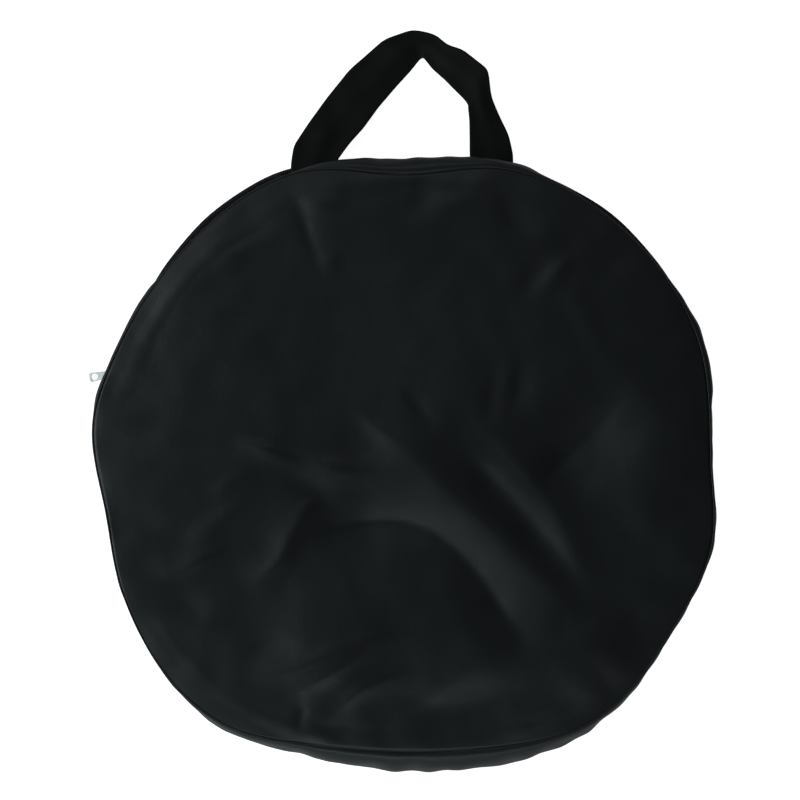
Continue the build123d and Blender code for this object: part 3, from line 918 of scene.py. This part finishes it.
# In mm. drawnIn is how far the cloth follows the hoop in at its crossing; the gathers fade out at the rim.
panels = {"segments": 110, "reach": 178.5, "drawnIn": 13, "thickness": 0.35, "gather": 1.7, "wideGathers": 5,
          "fineGathers": 12, "fineShare": 0.5, "slack": 1.3, "slackScale": 0.016, "rimStart": 0.82,
          "rimSpan": 0.18}


# 1 at the middle of the short arc where the hoop's turns cross, 0 away from it.
def crossing(angle):
    return ease(1 - np.abs(np.mod(angle, fullTurn) - hoop["crossing"]) / hoop["crossingHalf"])


# The hoop is one closed ring of three turns: it climbs twice, and dives back inside the others once.
def hoopPlace(angle, u, v):
    turn = np.floor((angle - hoop["crossing"] + fullTurn / 2) / fullTurn).astype(int)
    fromCrossing = np.mod(angle - hoop["crossing"] + fullTurn / 2, fullTurn) - fullTurn / 2
    step = ease(fromCrossing / hoop["climb"] + 0.5)
    low, middle, high = hoop["levels"]
    levels = np.array([high, low, middle, high])
    height = levels[turn] * (1 - step) + levels[np.minimum(turn + 1, 3)] * step
    dive = np.where(np.minimum(turn, 3) % 3 == 0, crossing(angle), 0)
    return hoop["radius"] - hoop["dip"] * dive + u, height + v


def runHoop(name, material, width, replaced, sides):
    start = hoop["crossing"] - fullTurn / 2
    return runRound(name, material, "reflector", start, start + 3 * fullTurn, roundSection(width, sides),
                    hoopPlace, replaced, density=0.5, closed=True)


runHoop("folded_hoop", springSteel, hoop["wire"], ["spring_hoop"], 8)
runHoop("hoop_binding", bindingCloth, hoop["binding"], ["rim_binding"], 14)


# A disc of cloth sewn to the hoop's binding; folding the hoop has gathered it into radial wrinkles.
def makePanel(name, material, level, edgeLevel, seed, replaced):
    bm = bmesh.new()
    unit = discGrid(bm, panels["segments"])
    angle, share = polar(unit)
    radius = share * (panels["reach"] - panels["drawnIn"] * crossing(angle))
    turn = np.radians(angle)
    wide, fine = panels["wideGathers"], panels["fineGathers"]
    spokes = wander(np.cos(turn) * wide + share, np.sin(turn) * wide, 1.0, seed)
    spokes += panels["fineShare"] * wander(np.cos(turn) * fine, np.sin(turn) * fine + share, 1.0, seed + 2)
    flat = fromPolar(angle, radius, np.zeros_like(radius)) / mm
    height = level + panels["gather"] * spokes * ease(share * 1.6) * ease((1.03 - share) * 8)
    height += panels["slack"] * wander(flat[:, 0], flat[:, 1], panels["slackScale"], seed + 4)
    height += (edgeLevel - level) * ease((share - panels["rimStart"]) / panels["rimSpan"])
    writePoints(bm, fromPolar(angle, radius, height))
    piece = newPiece(name, bm, material, "reflector", replaced, thickness=panels["thickness"] * mm)


# level is the cloth's height at its middle and edgeLevel at its rim, in mm.
makePanel("diffuser_sheet", diffuserCloth, 9.4, 10.8, 2.0, ["diffuser_panel"])
makePanel("silver_sheet", silverCloth, 15.6, 19.6, 17.0, ["silver_black_cover_panel"])
makePanel("gold_sheet", goldCloth, 21.8, 25.6, 31.0, ["white_gold_cover_panel"])

coverZip = {"radius": 153, "level": 25.9, "start": 190, "end": 350, "half": 5, "thickness": 0.5, "coil": 1.6,
            "coilLift": 0.6, "sag": 0.4, "sagCount": 17}


def coverZipPlace(angle, u, v):
    sag = coverZip["sag"] * np.sin(np.radians(angle) * coverZip["sagCount"])
    return coverZip["radius"] + sag + u, coverZip["level"] + coverZip["sag"] * sag + v


coverTape = runRound("cover_zip_tape", tapeCloth, "reflector", coverZip["start"], coverZip["end"],
                     stripSection(-coverZip["half"], coverZip["half"], coverZip["thickness"]), coverZipPlace,
                     ["cover_zip"])
coverCoil = runRound("cover_zip_coil", coilNylon, "reflector", coverZip["start"], coverZip["end"],
                     roundSection(coverZip["coil"]),
                     lambda angle, u, v: coverZipPlace(angle, u, v + coverZip["coilLift"]))

hangLoop = {"radius": 192.2, "height": 19.6, "half": 6, "long": 6.0, "deep": 1.4, "thickness": 0.9}


# A short loop of webbing on the rim, folded flat on itself.
def makeHangLoop():
    bm = bmesh.new()
    upright = Matrix.Rotation(math.pi / 2, 4, "Y")
    ring = bmesh.ops.create_circle(bm, segments=24, radius=1, matrix=upright)["verts"]
    for vert in ring:
        vert.co = Vector((-hangLoop["half"], hangLoop["long"] * vert.co.y, hangLoop["deep"] * vert.co.z))
    made = bmesh.ops.extrude_edge_only(bm, edges=bm.edges[:])["geom"]
    bmesh.ops.translate(bm, verts=[g for g in made if isinstance(g, bmesh.types.BMVert)],
                        vec=(2 * hangLoop["half"], 0, 0))
    bmesh.ops.translate(bm, verts=bm.verts, vec=(0, hangLoop["radius"], hangLoop["height"]))
    bmesh.ops.scale(bm, verts=bm.verts, vec=(mm, mm, mm))
    piece = newPiece("hang_loop_webbing", bm, webbing, "reflector", ["hang_loop"],
                     thickness=hangLoop["thickness"] * mm)


makeHangLoop()
print("reflector done")

# Finishes for the pieces carried over

carried = {
    "pull_tab": nickel, "slider_body": blackZinc, "slider_crown": blackZinc, "cover_zip_slider": blackZinc,
    "zip_top_stop": stopMetal, "zip_bottom_stop": stopMetal, "hoop_ferrule": stopMetal,
}
for nodeName, finish in carried.items():
    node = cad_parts[nodeName]
    for slotItem in node.material_slots:
        slotItem.material = finish
print("finishes done")
